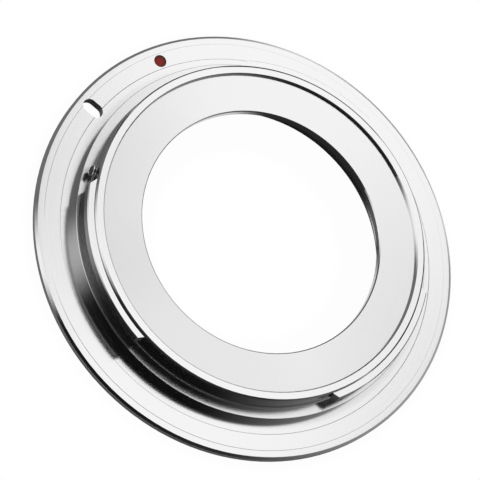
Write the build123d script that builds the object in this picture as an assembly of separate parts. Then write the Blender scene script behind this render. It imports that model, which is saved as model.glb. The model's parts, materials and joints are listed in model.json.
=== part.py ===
"""Lens mount adapter: a 42 mm screw-thread lens on one side, a three-lug bayonet mount on the other.

The ring lies on its lens seat with the bayonet upwards. The origin is the centre of the lens seat, +Z is
the optical axis towards the camera, and the index dot lies on +Y. Angles run anticlockwise from +X, seen
from the camera side. Heights named above_seat are measured up from the camera seat.
"""

import os
from math import cos, radians, sin, tan

from build123d import *

# Register boss, which enters the camera's throat
boss_d = 54.0
boss_above_seat = 2.0
boss_edge = 0.05

# Camera flange: two low bands with the seating land between them
register_t = 1.46
inner_band_w = 1.68
inner_band_drop = 0.07
land_w = 2.42
outer_band_w = 1.3
outer_band_drop = 0.04
flange_edge_w = 0.4
flange_edge_drop = 0.22
flange_back_edge = 0.3

# Neck and rim
boss_ledge_w = 1.64
neck_foot_r = 0.25
rim_above_lugs = 0.43
rim_w = 1.33
rim_outer_edge = 0.22
rim_inner_edge = 0.18

# Inner plate and light opening
plate_below_rim = 0.53
plate_t = 1.15
light_d = 36.56
light_edge = 0.15
light_back_edge = 0.07

# Lens thread, a plain wall at its outer diameter
thread_d = 42.0
thread_mouth_chamfer = 0.25

# Bayonet lugs, each with the angles at which it leaves the neck and the slants of its two ends
lug_reach = 1.05
lug_top_above_seat = 5.17
lug_t = 1.69
lug_edge = 0.15
lugs = (
    {"start": 19.0, "start_slant": 48.0, "end": 69.8, "end_slant": 58.0},
    {"start": 142.2, "start_slant": 48.0, "end": 197.7, "end_slant": 32.0},
    {"start": 266.3, "start_slant": 37.0, "end": 319.6, "end_slant": 32.0},
)

# Lock-pin slot
slot_angle = 116.55
slot_off_land_middle = -0.17
slot_length = 3.25
slot_width = 2.1

# Index dot
dot_angle = 90.0
dot_d = 1.9
dot_recess_depth = 0.5
dot_below_land = 0.28
dot_clearance = 0.01

# Stop screw
screw_angle = 138.3
screw_above_seat = 3.5
screw_d = 1.6
screw_reach = 0.95
screw_length = 3.0
screw_clearance = 0.02
screw_point_chamfer = 0.2
socket_across_flats = 0.7
socket_depth = 0.7

# How far a cutter runs past the face that it opens
cut_past = 1.0

# Heights above the lens seat
inner_band_z = register_t - inner_band_drop
outer_band_z = register_t - outer_band_drop
boss_z = register_t + boss_above_seat
lug_top_z = register_t + lug_top_above_seat
lug_bottom_z = lug_top_z - lug_t
rim_z = lug_top_z + rim_above_lugs
plate_z = rim_z - plate_below_rim
plate_back_z = plate_z - plate_t

# Radii, outwards and inwards from the register boss
boss_r = boss_d / 2
land_inner_r = boss_r + inner_band_w
land_middle_r = land_inner_r + land_w / 2
land_outer_r = land_inner_r + land_w
flange_r = land_outer_r + outer_band_w
neck_r = boss_r - boss_ledge_w
lug_r = neck_r + lug_reach
rim_bore_r = neck_r - rim_w
screw_seat_r = neck_r + screw_reach - screw_length

on_base = (Align.CENTER, Align.CENTER, Align.MIN)


def turned(section):
    """The solid that a section in radius and height sweeps about the optical axis."""
    return revolve(Plane.XZ * section, axis=Axis.Z)


def corners(section, *places):
    """The section's corners nearest to the given radius and height pairs."""
    return [section.vertices().sort_by_distance((r, z, 0))[0] for r, z in places]


def at(r, angle, height):
    """The place at a radius, an angle and a height, its X pointing outwards."""
    return Pos(r * cos(radians(angle)), r * sin(radians(angle)), height) * Rot(0, 0, angle)


def ring_body():
    """Flange, land, boss, neck, rim and plate, as the lathe leaves them."""
    light_r = light_d / 2
    thread_r = thread_d / 2
    outline = [
        (thread_r, 0),
        (flange_r, 0),
        (flange_r, outer_band_z - flange_edge_drop),
        (flange_r - flange_edge_w, outer_band_z),
        (land_outer_r, outer_band_z),
        (land_outer_r - outer_band_drop, register_t),
        (land_inner_r + inner_band_drop, register_t),
        (land_inner_r, inner_band_z),
        (boss_r, inner_band_z),
        (boss_r, boss_z),
        (neck_r, boss_z),
        (neck_r, rim_z),
        (rim_bore_r, rim_z),
        (rim_bore_r, plate_z),
        (light_r, plate_z),
        (light_r, plate_back_z),
        (thread_r, plate_back_z),
    ]
    section = make_face(Polyline(*outline, close=True))
    section = chamfer(corners(section, (flange_r, 0)), flange_back_edge)
    section = chamfer(corners(section, (boss_r, boss_z)), boss_edge)
    section = fillet(corners(section, (neck_r, boss_z)), neck_foot_r)
    section = chamfer(corners(section, (neck_r, rim_z)), rim_outer_edge)
    section = chamfer(corners(section, (rim_bore_r, rim_z)), rim_inner_edge)
    section = chamfer(corners(section, (light_r, plate_z)), light_edge)
    section = chamfer(corners(section, (light_r, plate_back_z)), light_back_edge)
    section = chamfer(corners(section, (thread_r, 0)), thread_mouth_chamfer)
    return turned(section)


def lug_collar():
    """The full collar that the lugs are milled from."""
    outline = [
        (rim_bore_r, lug_bottom_z),
        (lug_r, lug_bottom_z),
        (lug_r, lug_top_z),
        (rim_bore_r, lug_top_z),
    ]
    section = make_face(Polyline(*outline, close=True))
    section = chamfer(corners(section, (lug_r, lug_bottom_z), (lug_r, lug_top_z)), lug_edge)
    return turned(section)


def lug_sector(start, start_slant, end, end_slant):
    """A wedge that keeps one lug of the collar, its ends slanted so that the lug narrows outwards."""
    start_lean = (flange_r - neck_r) * tan(radians(start_slant))
    end_lean = (flange_r - neck_r) * tan(radians(end_slant))
    axis_start = Vector(cos(radians(start)), sin(radians(start)))
    axis_end = Vector(cos(radians(end)), sin(radians(end)))
    across_start = axis_start.rotate(Axis.Z, 90)
    across_end = axis_end.rotate(Axis.Z, -90)
    outer_start = axis_start * flange_r + across_start * start_lean
    outer_end = axis_end * flange_r + across_end * end_lean
    outer_middle = (outer_start + outer_end).normalized() * flange_r
    plan = make_face(
        [
            Polyline(outer_end, axis_end * neck_r, (0, 0), axis_start * neck_r, outer_start),
            ThreePointArc(outer_start, outer_middle, outer_end),
        ]
    )
    return extrude(plan, amount=rim_z)


def screw_axis(r):
    """A frame on the stop screw's axis at a radius, its Z pointing outwards."""
    return at(r, screw_angle, register_t + screw_above_seat) * Rot(0, 90, 0)


def adapter_ring():
    ring = ring_body()
    collar = lug_collar()
    for lug in lugs:
        ring += collar & lug_sector(**lug)
    slot = extrude(SlotOverall(slot_length, slot_width), amount=register_t + 2 * cut_past)
    ring -= at(land_middle_r + slot_off_land_middle, slot_angle, -cut_past) * slot
    recess = Cylinder(dot_d / 2, dot_recess_depth + cut_past, align=on_base)
    ring -= at(land_middle_r, dot_angle, register_t - dot_recess_depth) * recess
    hole = Cylinder(screw_d / 2 + screw_clearance, screw_length, align=on_base)
    ring -= screw_axis(screw_seat_r) * hole
    return ring


def stop_screw():
    """A set screw, its hexagon socket outwards, seated on the bottom of its hole."""
    shank = Cylinder(screw_d / 2, screw_length, align=on_base)
    shank = chamfer(shank.edges().filter_by(GeomType.CIRCLE), screw_point_chamfer)
    socket = extrude(RegularPolygon(socket_across_flats / 2, 6, major_radius=False), amount=-socket_depth)
    shank -= Pos(0, 0, screw_length) * socket
    return screw_axis(screw_seat_r) * shank


def index_dot():
    """The enamel that fills the lower part of the index recess."""
    fill_t = dot_recess_depth - dot_below_land
    fill = Cylinder(dot_d / 2 - dot_clearance, fill_t, align=on_base)
    return at(land_middle_r, dot_angle, register_t - dot_recess_depth) * fill


os.makedirs("parts", exist_ok=True)
pieces = {"adapter_ring": adapter_ring(), "stop_screw": stop_screw(), "index_dot": index_dot()}
for name, piece in pieces.items():
    export_step(piece, f"parts/{name}.step")
    print(name, "volume", round(piece.volume, 2), "mm3")
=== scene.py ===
"""Looks of the lens mount adapter: a bright turned and plated ring that lies on its lens seat.

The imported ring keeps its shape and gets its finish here. The lens thread inside it, the thread and socket
of the stop screw and the enamel of the index dot are added as meshes. Sizes are in millimetres, angles in
degrees, and azimuths run anticlockwise from +X as seen from above. A bearing is an azimuth counted from the
far side of the ring. Pairs of values bound the stretch over which a zone comes in or goes out.
"""

import json
from math import cos, pi, radians, sin

import bmesh
import bpy
from mathutils import Matrix, Vector


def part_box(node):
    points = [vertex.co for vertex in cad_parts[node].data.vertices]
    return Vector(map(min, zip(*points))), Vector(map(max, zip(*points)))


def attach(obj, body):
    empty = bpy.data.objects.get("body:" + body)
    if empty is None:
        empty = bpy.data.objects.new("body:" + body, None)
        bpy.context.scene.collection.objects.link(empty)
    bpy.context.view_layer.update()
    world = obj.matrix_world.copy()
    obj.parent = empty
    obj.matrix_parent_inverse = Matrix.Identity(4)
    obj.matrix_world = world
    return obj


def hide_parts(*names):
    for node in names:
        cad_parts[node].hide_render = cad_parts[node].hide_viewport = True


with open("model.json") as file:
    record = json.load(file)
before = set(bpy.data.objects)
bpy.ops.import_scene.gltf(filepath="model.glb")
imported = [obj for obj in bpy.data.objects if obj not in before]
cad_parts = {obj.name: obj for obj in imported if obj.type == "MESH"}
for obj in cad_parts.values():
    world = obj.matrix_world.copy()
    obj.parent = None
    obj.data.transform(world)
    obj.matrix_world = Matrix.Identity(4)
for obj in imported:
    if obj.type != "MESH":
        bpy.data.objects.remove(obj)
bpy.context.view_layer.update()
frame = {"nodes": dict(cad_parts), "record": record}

mm = 0.001
noise_middle = 0.5
mounts = {mount["name"]: mount for mount in frame["record"]["mounts"]}

# Lens thread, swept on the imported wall
thread_root_r = mounts["lens_thread"]["dims"]["r_mm"]
thread_pitch = 1.0
thread_depth = 0.54
thread_root_w = 0.875
thread_crest_w = 0.25
thread_sunk = 0.04
thread_low_z = 0.45
thread_high_z = 4.85
thread_steps = 180
weld_reach = 1e-7

# Radii and heights of the ring's steps
rim_bore_r = 24.03
neck_r = 25.36
lug_root_r = 25.5
boss_r = 27.0
flange_r = 32.4
boss_z = 3.46
lug_low_z = 4.94
plate_z = 6.53

# Zones of the plating, by the upward share of the surface normal, by height and by radius
wall_rise = (0.2, 0.5)
under_rise = (-0.5, -0.2)
slope_from_rise = (0.6, 0.65)
slope_to_rise = (0.75, 0.8)
plate_from_z = (plate_z - 0.02, plate_z - 0.01)
plate_to_r = (rim_bore_r - 0.02, rim_bore_r)
lug_from_z = (lug_low_z - 0.02, lug_low_z - 0.01)
lug_from_r = (lug_root_r - 0.02, lug_root_r)
end_turn = (0.3, 0.4)
edge_from_r = (flange_r - 0.02, flange_r - 0.01)
rim_from_z = (plate_z - 0.02, plate_z)
rim_to_r = (neck_r - 0.6, neck_r - 0.5)
bore_to_r = (thread_root_r + 0.1, thread_root_r + 0.12)
bore_to_z = (plate_z - 1.1, plate_z - 1.0)
hole_from_r = (boss_r + 0.3, boss_r + 0.4)
hole_to_r = (flange_r - 0.3, flange_r - 0.2)
foot_to_z = (4.0, 4.1)
foot_to_r = (27.4, 28.4)

# Plating: its brightness is painted zone by zone as light and shade, walls darker than faces, undersides and
# the walls of the lugs and the bore darkest, and the flange's edge is satin
face_level = 0.91
wall_shade_level = 0.6
deep_shade_level = 0.33
end_level = 0.5
rim_level = 0.9
edge_level = 0.48
hole_level = 0.5
bright_roughness = 0.09
plate_roughness = 0.14
foot_roughness = 0.15
dull_roughness = 0.2
end_roughness = 0.3
edge_roughness = 0.85
hole_roughness = 0.6

# Fine rings that the tool left
rings_scale = 9.0
rings_detail = 5.0
rings_shade = 0.02
groove_strength = 0.06
groove_depth = 0.02
turning_stretch = 0.8
turning_turn = 0.25

# Painted shade on single sides of the ring: on the plate, the lip of the rim and the edge of the light
# opening
plate_shade = 0.1
shade_bearing = 188.0
shade_reach = (0.5, 1.0)
lip_painted_shade = 0.92
lip_from_z = (6.75, 6.8)
lips = (
    {"bearing": 28.0, "reach": (0.82, 0.9), "from_r": (25.03, 25.06)},
    {"bearing": -62.0, "reach": (0.9, 0.97), "from_r": (25.08, 25.11)},
)
opening_painted_shade = 0.6
opening_bearing = -85.0
opening_reach = (0.75, 0.9)
opening_from_z = (6.3, 6.35)
opening_to_r = (18.6, 18.7)

# Painted shade on the boss under the stop screw
foot_shade_r = 26.0
foot_shade_reach = (0.5, 1.3)
foot_shade_dark = 0.35

# Fine chamfers that show a thinner line on one side of the ring
far_lug_bearing = 28.0
far_lug_reach = (0.6, 0.7)
far_lug_from_z = (lug_low_z + 1, lug_low_z + 1.1)
far_lug_from_r = (lug_root_r, lug_root_r + 0.1)
far_lug_kept_r = (26.34, 26.36)
eased_blend = 0.01
eased_past = (0.02, 0.03)
eased_edges = (
    {"r": 24.21, "width": 0.06, "bearing": 15.0, "reach": (0.4, 0.75)},
    {"r": 18.43, "width": 0.05, "bearing": 110.0, "reach": (0.7, 0.9)},
    {"r": 28.75, "width": 0.05, "bearing": 15.0, "reach": (0.1, 0.8)},
)

# Stop screw
screw_length = 3.0
screw_pitch = 0.35
screw_core_r = 0.62
screw_root_w = 0.3
screw_crest_w = 0.1
screw_plain_end = 0.25
screw_edge = 0.12
socket_across_flats = 0.7
socket_depth = 0.7
screw_sides = 48

# Black oxide on the screw
oxide_level = 0.025
oxide_roughness = 0.25
blotch_scale = 2.5
blotch_detail = 3.0
blotch_level = 0.04
blotch_roughness = 0.2
worn_reach = (0.66, 0.76)
worn_level = 0.9
worn_polish = 0.15

# Index dot
enamel_climb = 0.08
enamel_climb_w = 0.35
enamel_rows = 7
enamel_sides = 64
enamel_red = (0.29, 0.024, 0.021, 1)
# Enamel towards the recess wall: thinner, and painted darker there as shade
enamel_thin_shaded_red = (0.1, 0.034, 0.019, 1)
enamel_thin_shaded_reach = (0.35, 0.9)
enamel_roughness = 0.35
enamel_shine = 0.15
stroke_scale = 1.6
stroke_detail = 4.0
stroke_spread = 0.5
stroke_roughness = 0.2
stroke_strength = 0.3
stroke_depth = 0.03

# Camera
view_aim = (-1.326, 0.806, 1.457)
view_azimuth = 197.4
view_elevation = 60.48
view_distance = 348.42
view_roll = 48.42
view_angle = 11.365
clip_near_share = 0.1
clip_far_share = 4

# Studio: soft boxes on a dark dome. Bearings run anticlockwise from the far light, which faces the camera.
far_azimuth = 17.4
soft_boxes = (
    {"level": 1.0, "bearing": 14.0, "lean": 1.0, "half": 10.0, "soft": 14.0, "heights": (32, 44, 72, 84)},
    {"level": 0.43, "bearing": -20.0, "lean": 0.0, "half": 4.0, "soft": 105.0, "heights": (-14, 18, 30, 95)},
    {"level": 1.0, "bearing": 0.0, "lean": 0.0, "half": 8.0, "soft": 28.0, "heights": (-6, -1, 9, 20)},
    {"level": 0.16, "bearing": 70.0, "lean": 0.0, "half": 24.0, "soft": 22.0, "heights": (2, 8, 66, 80)},
    {"level": 0.95, "bearing": 127.0, "lean": 1.2, "half": 4.0, "soft": 30.0, "heights": (6, 17, 54, 80)},
)
lean_height = 46.0
haze_top = (46.0, 59.0)
haze_level = 0.02
dome_level = 0.006
fill_strength = 1.6
fill_spread = 60.0

# Floor: white to the camera. In the metal it is dim and polished near the ring, with painted light in front
# of the ring and inside the bore, apart from the bore's far end.
floor_half = 3000.0
floor_drop = 0.02
floor_white = 0.85
polish_reach = (220.0, 600.0)
polish_level = 0.15
polish_roughness = 0.05
polish_glow = 0.03
front_glow = 0.7
front_bearing = 180.0
front_reach = (-0.1, 0.3)
front_from_r = (flange_r - 1, flange_r + 3)
inside_glow = 0.8
inside_from_r = (12.5, 14.0)
inside_to_r = (thread_root_r, thread_root_r + 1)
inside_end_bearing = -1.0
inside_end_reach = (0.62, 0.83)
contact_reach = 8.0
contact_dark = 0.72
contact_clear = 0.97
contact_seen = 0.02


class Wire:
    """A socket in a node tree. Arithmetic on wires adds Math nodes, and node() adds any other node."""

    def __init__(self, tree, socket=None):
        self.tree = tree
        self.socket = socket

    def node(self, kind, settings=None, sockets=None, output=0):
        made = self.tree.nodes.new(kind)
        for name, value in (settings or {}).items():
            setattr(made, name, value)
        for name, value in (sockets or {}).items():
            if isinstance(value, Wire):
                self.tree.links.new(value.socket, made.inputs[name])
            else:
                made.inputs[name].default_value = value
        return Wire(self.tree, made.outputs[output] if made.outputs else None)

    def twin(self, output):
        """Another output of the same node."""
        return Wire(self.tree, self.socket.node.outputs[output])

    def maths(self, operation, first, second):
        return self.node("ShaderNodeMath", {"operation": operation}, {0: first, 1: second})

    def __add__(self, other):
        return self.maths("ADD", self, other)

    def __radd__(self, other):
        return self.maths("ADD", other, self)

    def __sub__(self, other):
        return self.maths("SUBTRACT", self, other)

    def __rsub__(self, other):
        return self.maths("SUBTRACT", other, self)

    def __mul__(self, other):
        return self.maths("MULTIPLY", self, other)

    def __rmul__(self, other):
        return self.maths("MULTIPLY", other, self)

    def __truediv__(self, other):
        return self.maths("DIVIDE", self, other)

    def __pow__(self, other):
        return self.maths("POWER", self, other)

    def ramp(self, low, high):
        """0 up to low, 1 from high, and smooth between them."""
        settings = {"interpolation_type": "SMOOTHSTEP"}
        return self.node("ShaderNodeMapRange", settings, {"Value": self, "From Min": low, "From Max": high})


def new_material(name):
    """An empty material and its first wire."""
    material = bpy.data.materials.new(name)
    material.use_nodes = True
    material.node_tree.nodes.clear()
    return material, Wire(material.node_tree)


def grey(wire, level):
    return wire.node("ShaderNodeCombineColor", sockets={"Red": level, "Green": level, "Blue": level})


def show(wire, shader):
    wire.node("ShaderNodeOutputMaterial", sockets={"Surface": shader})


def towards(azimuth, elevation):
    """Unit vector from the object to a place in the studio."""
    level = cos(radians(elevation))
    return Vector((level * cos(radians(azimuth)), level * sin(radians(azimuth)), sin(radians(elevation))))


def surface_place(wire):
    """A surface point's x, y and z, and its distance from the optical axis."""
    spot = wire.node("ShaderNodeTexCoord", output="Object")
    x = wire.node("ShaderNodeSeparateXYZ", sockets={"Vector": spot})
    y = x.twin("Y")
    return x, y, x.twin("Z"), (x * x + y * y) ** 0.5


def radius_and_height(wire):
    """A surface point's distance from the optical axis and height above the lens seat."""
    _, _, z, r = surface_place(wire)
    return r / mm, z / mm


def turned_away(wire):
    """How far a surface turns from facing straight outwards or inwards: 0 on turned walls, 1 across them."""
    x, y, _, r = surface_place(wire)
    normal = wire.node("ShaderNodeNewGeometry", output="Normal")
    facing_x = wire.node("ShaderNodeSeparateXYZ", sockets={"Vector": normal})
    facing_y = facing_x.twin("Y")
    return wire.maths("ABSOLUTE", (x * facing_y - y * facing_x) / r, 0.0)


def side_share(wire, bearing):
    """How far a surface point lies towards one side of the ring: 1 on it, -1 opposite."""
    x, y, _, r = surface_place(wire)
    side = towards(far_azimuth + bearing, 0)
    return (x * side.x + y * side.y) / r


def screw_place():
    """The middle of the stop screw and the way it points, outwards from the axis."""
    low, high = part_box("stop_screw")
    middle = (low + high) / 2
    return middle, Vector((middle.x, middle.y, 0)).normalized()


def screw_foot_shade(wire):
    """Painted shade on the boss under the stop screw."""
    _, outwards = screw_place()
    foot = outwards * foot_shade_r * mm + Vector((0, 0, boss_z * mm))
    spot = wire.node("ShaderNodeTexCoord", output="Object")
    away = wire.node("ShaderNodeVectorMath", {"operation": "DISTANCE"}, {0: spot, 1: foot}, output="Value")
    return 1 - (away / mm).ramp(*foot_shade_reach)


def plating_zones(wire, r, z, rise):
    """The share, from 0 to 1, that each zone of the plating has in a surface point."""
    on_wall = 1 - wire.maths("ABSOLUTE", rise, 0.0).ramp(*wall_rise)
    on_face = 1 - on_wall
    on_lug = on_wall * z.ramp(*lug_from_z) * r.ramp(*lug_from_r)
    in_bore = on_wall * (1 - r.ramp(*bore_to_r)) * (1 - z.ramp(*bore_to_z))
    # Undersides and the walls of the lugs and the bore: painted darker as shade, and duller
    dull = 1 - rise.ramp(*under_rise)
    for wall in (on_lug, in_bore):
        dull = wire.maths("MAXIMUM", dull, wall)
    return {
        "wall": on_wall,
        "face": on_face,
        "dull": dull,
        "lug end": on_lug * turned_away(wire).ramp(*end_turn),
        "plate": on_face * z.ramp(*plate_from_z) * (1 - r.ramp(*plate_to_r)),
        "foot": on_face * (1 - z.ramp(*foot_to_z)) * (1 - r.ramp(*foot_to_r)),
        "rim": on_wall * z.ramp(*rim_from_z) * (1 - r.ramp(*rim_to_r)),
        "edge": on_wall * r.ramp(*edge_from_r),
        "hole": on_wall * r.ramp(*hole_from_r) * (1 - r.ramp(*hole_to_r)),
        "slope": rise.ramp(*slope_from_rise) * (1 - rise.ramp(*slope_to_rise)),
    }


def plating_level(wire, zone, r, z):
    """Brightness of the plating, zone by zone, with painted shade under the stop screw and on single sides.
    """
    # Walls painted darker than faces as shade, with deeper shade under the lugs, on undersides and in the
    # bore
    level = face_level + zone["wall"] * (wall_shade_level - face_level)
    level = level + zone["dull"] * (deep_shade_level - level)
    level = level + zone["lug end"] * (end_level - deep_shade_level)
    level = level + zone["rim"] * (rim_level - wall_shade_level) + zone["edge"] * (edge_level - wall_shade_level)
    # Painted shade under the stop screw
    level = (level + zone["hole"] * (hole_level - wall_shade_level)) * (1 - screw_foot_shade(wire) * foot_shade_dark)
    # Painted shade on one side of the light opening's edge and on the rim's lip
    on_opening = zone["slope"] * z.ramp(*opening_from_z) * (1 - r.ramp(*opening_to_r))
    opening_side = side_share(wire, opening_bearing).ramp(*opening_reach)
    lip_sides = 0
    for lip in lips:
        lip_side = side_share(wire, lip["bearing"]).ramp(*lip["reach"])
        lip_sides = lip_sides + lip_side * r.ramp(*lip["from_r"])
    on_lip = zone["face"] * z.ramp(*lip_from_z) * lip_sides
    level = level * (1 - on_opening * opening_side * opening_painted_shade) * (1 - on_lip * lip_painted_shade)
    # Painted shade on one side of the plate
    plate_side = side_share(wire, shade_bearing).ramp(*shade_reach)
    return level * (1 - zone["plate"] * plate_side * plate_shade)


def plating_roughness(zone):
    """Roughness of the plating, zone by zone."""
    roughness = bright_roughness + zone["plate"] * (plate_roughness - bright_roughness)
    roughness = roughness + zone["foot"] * (foot_roughness - bright_roughness)
    roughness = roughness + zone["dull"] * (dull_roughness - roughness)
    roughness = roughness + zone["lug end"] * (end_roughness - dull_roughness)
    roughness = roughness + zone["edge"] * (edge_roughness - bright_roughness)
    return roughness + zone["hole"] * (hole_roughness - bright_roughness)


def eased_normal(wire, on_slope, r, z, normal):
    """The surface normal, turned upwards on fine chamfers outside the thinner line that they show."""
    on_lug_edge = on_slope * z.ramp(*far_lug_from_z) * r.ramp(*far_lug_from_r)
    on_far_lug = on_lug_edge * side_share(wire, far_lug_bearing).ramp(*far_lug_reach)
    eased = on_far_lug * (1 - r.ramp(*far_lug_kept_r))
    for edge in eased_edges:
        kept = edge["r"] - side_share(wire, edge["bearing"]).ramp(*edge["reach"]) * edge["width"]
        past = r.ramp(*(edge["r"] + reach for reach in eased_past))
        beyond = (r - kept).ramp(0.0, eased_blend) * (1 - past)
        eased = eased + on_slope * beyond
    turn_up = {0: eased, 4: normal, 5: (0, 0, 1)}
    return wire.node("ShaderNodeMix", {"data_type": "VECTOR"}, turn_up, output=1)


def bright_plating():
    """Bright plating over turned metal, with the fine rings that the tool left."""
    material, wire = new_material("bright_plating")
    r, z = radius_and_height(wire)
    tool_path = {"W": (r + z) * rings_scale, "Detail": rings_detail}
    rings = wire.node("ShaderNodeTexNoise", {"noise_dimensions": "1D"}, tool_path)
    normal = wire.node("ShaderNodeNewGeometry", output="Normal")
    rise = wire.node("ShaderNodeSeparateXYZ", sockets={"Vector": normal}, output="Z")
    zone = plating_zones(wire, r, z, rise)
    level = plating_level(wire, zone, r, z) + (rings - noise_middle) * rings_shade
    facing = eased_normal(wire, zone["slope"], r, z, normal)
    grooves = {"Strength": groove_strength, "Distance": groove_depth * mm, "Height": rings, "Normal": facing}
    bump = wire.node("ShaderNodeBump", sockets=grooves)
    shader = wire.node(
        "ShaderNodeBsdfPrincipled",
        sockets={
            "Base Color": grey(wire, level),
            "Metallic": 1.0,
            "Roughness": plating_roughness(zone),
            "Anisotropic": turning_stretch,
            "Anisotropic Rotation": turning_turn,
            "Normal": bump,
        },
    )
    show(wire, shader)
    return material


def black_oxide():
    """Black oxide on the stop screw, a little blotched and worn bright on the crests of its thread."""
    material, wire = new_material("black_oxide")
    spot = wire.node("ShaderNodeTexCoord", output="Object")
    patches = {"Vector": spot, "Scale": blotch_scale / mm, "Detail": blotch_detail}
    blotches = wire.node("ShaderNodeTexNoise", sockets=patches)
    middle, outwards = screw_place()
    aside = wire.node("ShaderNodeVectorMath", {"operation": "SUBTRACT"}, {0: spot, 1: middle})
    across = wire.node("ShaderNodeVectorMath", {"operation": "CROSS_PRODUCT"}, {0: aside, 1: outwards})
    reach = wire.node("ShaderNodeVectorMath", {"operation": "LENGTH"}, {0: across}, output="Value") / mm
    worn = reach.ramp(*worn_reach)
    shader = wire.node(
        "ShaderNodeBsdfPrincipled",
        sockets={
            "Base Color": grey(wire, oxide_level + blotches * blotch_level + worn * worn_level),
            "Metallic": worn,
            "Roughness": oxide_roughness + blotches * blotch_roughness - worn * worn_polish,
        },
    )
    show(wire, shader)
    return material


def red_enamel():
    """Dull red enamel, brushed into its recess by hand, thinner and painted darker as shade towards the wall
    of its recess.
    """
    material, wire = new_material("red_enamel")
    spot = wire.node("ShaderNodeTexCoord", output="Object")
    brush = {"Vector": spot, "Scale": stroke_scale / mm, "Detail": stroke_detail}
    strokes = wire.node("ShaderNodeTexNoise", sockets=brush)
    low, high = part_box("index_dot")
    middle = (low + high) / 2
    away = wire.node("ShaderNodeVectorMath", {"operation": "DISTANCE"}, {0: spot, 1: middle}, output="Value")
    # Thinner enamel towards the recess wall, painted darker there as shade
    thin_and_shaded = (away / mm).ramp(*enamel_thin_shaded_reach) + (strokes - noise_middle) * stroke_spread
    reds = {0: thin_and_shaded, 6: enamel_red, 7: enamel_thin_shaded_red}
    colour = wire.node("ShaderNodeMix", {"data_type": "RGBA"}, reds, output=2)
    marks = {"Strength": stroke_strength, "Distance": stroke_depth * mm, "Height": strokes}
    bump = wire.node("ShaderNodeBump", sockets=marks)
    shader = wire.node(
        "ShaderNodeBsdfPrincipled",
        sockets={
            "Base Color": colour,
            "Roughness": enamel_roughness + strokes * stroke_roughness,
            "Specular IOR Level": enamel_shine,
            "Normal": bump,
        },
    )
    show(wire, shader)
    return material


def pale_floor():
    """White to the camera, with the contact shadow; in the metal, dim and polished near the ring."""
    material, wire = new_material("pale_floor")
    camera = wire.node("ShaderNodeLightPath", output="Is Camera Ray")
    mirrored = camera.twin("Is Glossy Ray")
    through = camera.twin("Is Transmission Ray")
    sky = wire.node("ShaderNodeAmbientOcclusion", sockets={"Distance": contact_reach * mm}, output="AO")
    shadow = 1 - sky.ramp(contact_dark, contact_clear)
    r, _ = radius_and_height(wire)
    polished = mirrored * (1 - r.ramp(*polish_reach))
    # Painted light on the floor, seen only in the metal: in front of the ring and inside the bore
    front = r.ramp(*front_from_r) * side_share(wire, front_bearing).ramp(*front_reach) * front_glow
    inside_end = side_share(wire, inside_end_bearing).ramp(*inside_end_reach)
    inside = r.ramp(*inside_from_r) * (1 - r.ramp(*inside_to_r)) * (1 - inside_end) * inside_glow
    level = (1 - shadow * contact_seen) * (1 - polished) + polished * (polish_glow + front + inside)
    glow = wire.node("ShaderNodeEmission", sockets={"Color": grey(wire, level), "Strength": 1.0})
    shine = {"Color": (polish_level, polish_level, polish_level, 1), "Roughness": polish_roughness}
    mirror = wire.node("ShaderNodeBsdfAnisotropic", sockets=shine)
    matt = wire.node("ShaderNodeBsdfDiffuse", sockets={"Color": (floor_white, floor_white, floor_white, 1)})
    seen = wire.maths("MINIMUM", camera + mirrored + through, 1.0)
    lit = wire.node("ShaderNodeMixShader", sockets={0: seen, 1: matt, 2: glow})
    both = wire.node("ShaderNodeAddShader", sockets={0: glow, 1: mirror})
    show(wire, wire.node("ShaderNodeMixShader", sockets={0: polished, 1: lit, 2: both}))
    return material


def thread_tree():
    """Geometry nodes that sweep a thread's ridge along its right-handed helix about +Z."""
    tree = bpy.data.node_groups.new("thread_ridge", "GeometryNodeTree")
    for size in ("Outer radius", "Inner radius", "Pitch", "Turns", "Outer width", "Inner width", "Low end"):
        tree.interface.new_socket(size, in_out="INPUT", socket_type="NodeSocketFloat")
    tree.interface.new_socket("Finish", in_out="INPUT", socket_type="NodeSocketMaterial")
    tree.interface.new_socket("Ridge", in_out="OUTPUT", socket_type="NodeSocketGeometry")
    wire = Wire(tree)
    outer_r = wire.node("NodeGroupInput", output="Outer radius")
    inner_r = outer_r.twin("Inner radius")
    middle_r = (outer_r + inner_r) * 0.5
    turns = outer_r.twin("Turns")
    helix = wire.node(
        "GeometryNodeCurveSpiral",
        sockets={
            "Resolution": thread_steps,
            "Rotations": turns,
            "Start Radius": middle_r,
            "End Radius": middle_r,
            "Height": outer_r.twin("Pitch") * turns,
            "Reverse": True,
        },
    )
    level_helix = wire.node("GeometryNodeSetCurveNormal", {"mode": "Z_UP"}, {"Curve": helix})
    section = wire.node(
        "GeometryNodeCurvePrimitiveQuadrilateral",
        {"mode": "TRAPEZOID"},
        {
            "Height": outer_r - inner_r,
            "Bottom Width": outer_r.twin("Outer width"),
            "Top Width": outer_r.twin("Inner width"),
            "Offset": 0.0,
        },
    )
    laid = {"Geometry": section, "Rotation": (0, 0, radians(90))}
    lying = wire.node("GeometryNodeTransform", sockets=laid)
    ridge = wire.node(
        "GeometryNodeCurveToMesh", sockets={"Curve": level_helix, "Profile Curve": lying, "Fill Caps": True}
    )
    lift = wire.node("ShaderNodeCombineXYZ", sockets={"Z": outer_r.twin("Low end")})
    placed = {"Geometry": ridge, "Translation": lift, "Rotation": (0, 0, pi)}
    lifted = wire.node("GeometryNodeTransform", sockets=placed)
    whole = wire.node("GeometryNodeRealizeInstances", sockets={"Geometry": lifted})
    finish = outer_r.twin("Finish")
    dressed = wire.node("GeometryNodeSetMaterial", sockets={"Geometry": whole, "Material": finish})
    wire.node("NodeGroupOutput", sockets={"Ridge": dressed})
    return tree


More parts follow.
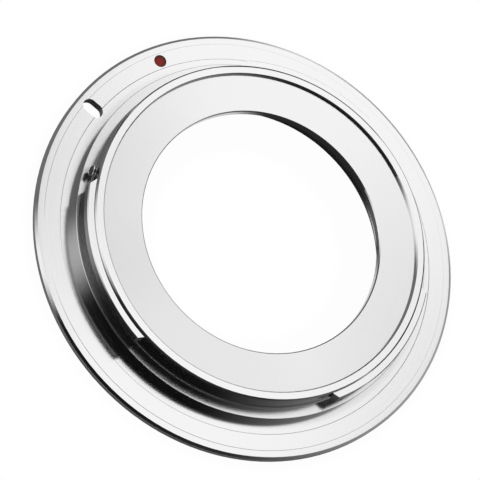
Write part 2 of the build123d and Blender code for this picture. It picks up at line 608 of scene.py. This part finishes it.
def swept_thread(tree, finish, **sizes):
    """The ridge of one thread as a plain mesh, its faces turned outwards."""
    carrier = bpy.data.objects.new("thread_carrier", bpy.data.meshes.new("thread_carrier"))
    bpy.context.scene.collection.objects.link(carrier)
    sweep = carrier.modifiers.new("sweep", "NODES")
    sweep.node_group = tree
    values = {name.replace("_", " "): value for name, value in sizes.items()}
    for socket in tree.interface.items_tree:
        if socket.name.lower() in values:
            sweep[socket.identifier] = values[socket.name.lower()]
        elif socket.name == "Finish":
            sweep[socket.identifier] = finish
    graph = bpy.context.evaluated_depsgraph_get()
    mesh = bpy.data.meshes.new_from_object(carrier.evaluated_get(graph))
    bpy.data.objects.remove(carrier)
    body = bmesh.new()
    body.from_mesh(mesh)
    bmesh.ops.remove_doubles(body, verts=body.verts, dist=weld_reach)
    bmesh.ops.recalc_face_normals(body, faces=body.faces)
    return body


def ring_of(r, z, sides, shape=None):
    """Points round the Z axis, on a circle or on a shape that scales the radius with the angle."""
    points = []
    for i in range(sides):
        angle = 2 * pi * i / sides
        reach = r * shape(angle) if shape else r
        points.append(Vector((reach * cos(angle), reach * sin(angle), z)) * mm)
    return points


def skin(rows):
    """A closed body of quads over rows of points, its first and last rows filled."""
    body = bmesh.new()
    rings = [[body.verts.new(point) for point in row] for row in rows]
    for lower, upper in zip(rings, rings[1:]):
        for i in range(len(lower)):
            j = (i + 1) % len(lower)
            body.faces.new((lower[i], lower[j], upper[j], upper[i]))
    body.faces.new(rings[0])
    body.faces.new(rings[-1])
    bmesh.ops.recalc_face_normals(body, faces=body.faces)
    return body


def piece_of(name, body, finish, sharp_angle=35.0):
    """A finished piece on the fixed body, smooth apart from its sharp edges."""
    mesh = bpy.data.meshes.new(name)
    body.to_mesh(mesh)
    body.free()
    mesh.materials.clear()
    mesh.materials.append(finish)
    mesh.shade_smooth()
    mesh.set_sharp_from_angle(angle=radians(sharp_angle))
    piece = bpy.data.objects.new(name, mesh)
    bpy.context.scene.collection.objects.link(piece)
    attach(piece, "root")
    return piece


def lens_thread(tree, finish):
    """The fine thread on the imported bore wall."""
    body = swept_thread(
        tree,
        finish,
        outer_radius=(thread_root_r + thread_sunk) * mm,
        inner_radius=(thread_root_r - thread_depth) * mm,
        pitch=thread_pitch * mm,
        turns=(thread_high_z - thread_low_z) / thread_pitch,
        outer_width=thread_root_w * mm,
        inner_width=thread_crest_w * mm,
        low_end=thread_low_z * mm,
    )
    return piece_of("lens_thread", body, finish)


def hexagon(angle):
    """Reach of a hexagon, as a share of half its width across flats."""
    sixth = pi / 3
    return 1 / cos((angle + sixth / 2) % sixth - sixth / 2)


def stop_screw(tree, finish):
    """The set screw with its thread and hexagon socket, in place of the plain packed one."""
    low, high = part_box("stop_screw")
    middle, outwards = screw_place()
    crest_r = (high.z - low.z) / 2 / mm
    flat_r = socket_across_flats / 2
    rows = [
        ring_of(screw_core_r - screw_edge, 0, screw_sides),
        ring_of(screw_core_r, screw_edge, screw_sides),
        ring_of(screw_core_r, screw_length - screw_edge, screw_sides),
        ring_of(screw_core_r - screw_edge, screw_length, screw_sides),
        ring_of(flat_r, screw_length, screw_sides, hexagon),
        ring_of(flat_r, screw_length - socket_depth, screw_sides, hexagon),
    ]
    body = skin(rows)
    ridge = swept_thread(
        tree,
        finish,
        outer_radius=crest_r * mm,
        inner_radius=(screw_core_r - thread_sunk) * mm,
        pitch=screw_pitch * mm,
        turns=(screw_length - 2 * screw_plain_end) / screw_pitch,
        outer_width=screw_crest_w * mm,
        inner_width=screw_root_w * mm,
        low_end=screw_plain_end * mm,
    )
    joined = bpy.data.meshes.new("screw_ridge")
    ridge.to_mesh(joined)
    ridge.free()
    body.from_mesh(joined)
    turn = outwards.to_track_quat("Z", "Y").to_matrix().to_4x4()
    seat = middle - outwards * screw_length / 2 * mm
    body.transform(Matrix.Translation(seat) @ turn)
    piece = piece_of("stop_screw_threaded", body, finish)
    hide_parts("stop_screw")
    return piece


def index_enamel(finish):
    """The enamel of the index dot, which climbs a little at the wall of its recess."""
    low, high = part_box("index_dot")
    middle = (low + high) / 2
    dot_r = (high.x - low.x) / 2 / mm
    rows = [ring_of(dot_r, low.z / mm, enamel_sides)]
    for step in range(enamel_rows):
        share = step / (enamel_rows - 1)
        climb = enamel_climb * (1 - share) ** 2
        rows.append(ring_of(dot_r - enamel_climb_w * share, high.z / mm + climb, enamel_sides))
    body = skin(rows)
    body.transform(Matrix.Translation((middle.x, middle.y, 0)))
    piece = piece_of("index_enamel", body, finish)
    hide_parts("index_dot")
    return piece


def studio():
    """The world: soft boxes on a dark dome, above a dim horizon."""
    world = bpy.data.worlds.new("studio")
    bpy.context.scene.world = world
    world.use_nodes = True
    world.node_tree.nodes.clear()
    wire = Wire(world.node_tree)
    gaze = wire.node("ShaderNodeTexCoord", output="Generated")
    spin = {"rotation_type": "Z_AXIS"}
    turned = wire.node("ShaderNodeVectorRotate", spin, {"Vector": gaze, "Angle": radians(-far_azimuth)})
    x = wire.node("ShaderNodeSeparateXYZ", sockets={"Vector": turned})
    bearing = wire.maths("ARCTAN2", x.twin("Y"), x) * (180 / pi)
    height = wire.maths("ARCSINE", x.twin("Z"), 0.0) * (180 / pi)
    level = (1 - height.ramp(*haze_top)) * haze_level + dome_level
    climb = wire.maths("MAXIMUM", height - lean_height, 0.0)
    for box in soft_boxes:
        middle = box["bearing"] - climb * box["lean"]
        aside = wire.maths("ABSOLUTE", bearing - middle, 0.0)
        across = 1 - aside.ramp(box["half"], box["half"] + box["soft"])
        start, full, fall, end = box["heights"]
        upright = height.ramp(start, full) * (1 - height.ramp(fall, end))
        level = wire.maths("MAXIMUM", level, across * upright * box["level"])
    sky = wire.node("ShaderNodeBackground", sockets={"Color": grey(wire, level), "Strength": 1.0})
    wire.node("ShaderNodeOutputWorld", sockets={"Surface": sky})


def fill_lamp():
    """Overhead light for the matt finishes, kept out of the mirrors."""
    lamp = bpy.data.lights.new("fill", "SUN")
    lamp.energy = fill_strength
    lamp.angle = radians(fill_spread)
    fill = bpy.data.objects.new("fill", lamp)
    fill.visible_glossy = False
    bpy.context.scene.collection.objects.link(fill)


def floor():
    """A large pale floor just under the lens seat."""
    body = bmesh.new()
    corners = [Vector((x, y, -floor_drop / floor_half)) for x, y in ((-1, -1), (1, -1), (1, 1), (-1, 1))]
    body.faces.new([body.verts.new(corner * floor_half * mm) for corner in corners])
    mesh = bpy.data.meshes.new("floor")
    body.to_mesh(mesh)
    body.free()
    mesh.materials.append(pale_floor())
    piece = bpy.data.objects.new("floor", mesh)
    bpy.context.scene.collection.objects.link(piece)


def camera():
    """The view of the photograph, turned about its own axis as the photograph is."""
    lens = bpy.data.cameras.new("camera")
    lens.angle = radians(view_angle)
    lens.clip_start = view_distance * mm * clip_near_share
    lens.clip_end = floor_half * mm * clip_far_share
    eye = bpy.data.objects.new("camera", lens)
    back = towards(view_azimuth, view_elevation)
    turn = (-back).to_track_quat("-Z", "Y").to_matrix().to_4x4()
    roll = Matrix.Rotation(radians(view_roll), 4, "Z")
    eye.matrix_world = Matrix.Translation((Vector(view_aim) + back * view_distance) * mm) @ turn @ roll
    bpy.context.scene.collection.objects.link(eye)
    bpy.context.scene.camera = eye


plating = bright_plating()
ring = frame["nodes"]["adapter_ring"]
for slot in ring.material_slots:
    slot.material = plating
turns = thread_tree()
lens_thread(turns, plating)
stop_screw(turns, black_oxide())
index_enamel(red_enamel())
studio()
fill_lamp()
floor()
camera()
bpy.context.scene.view_settings.view_transform = "Standard"
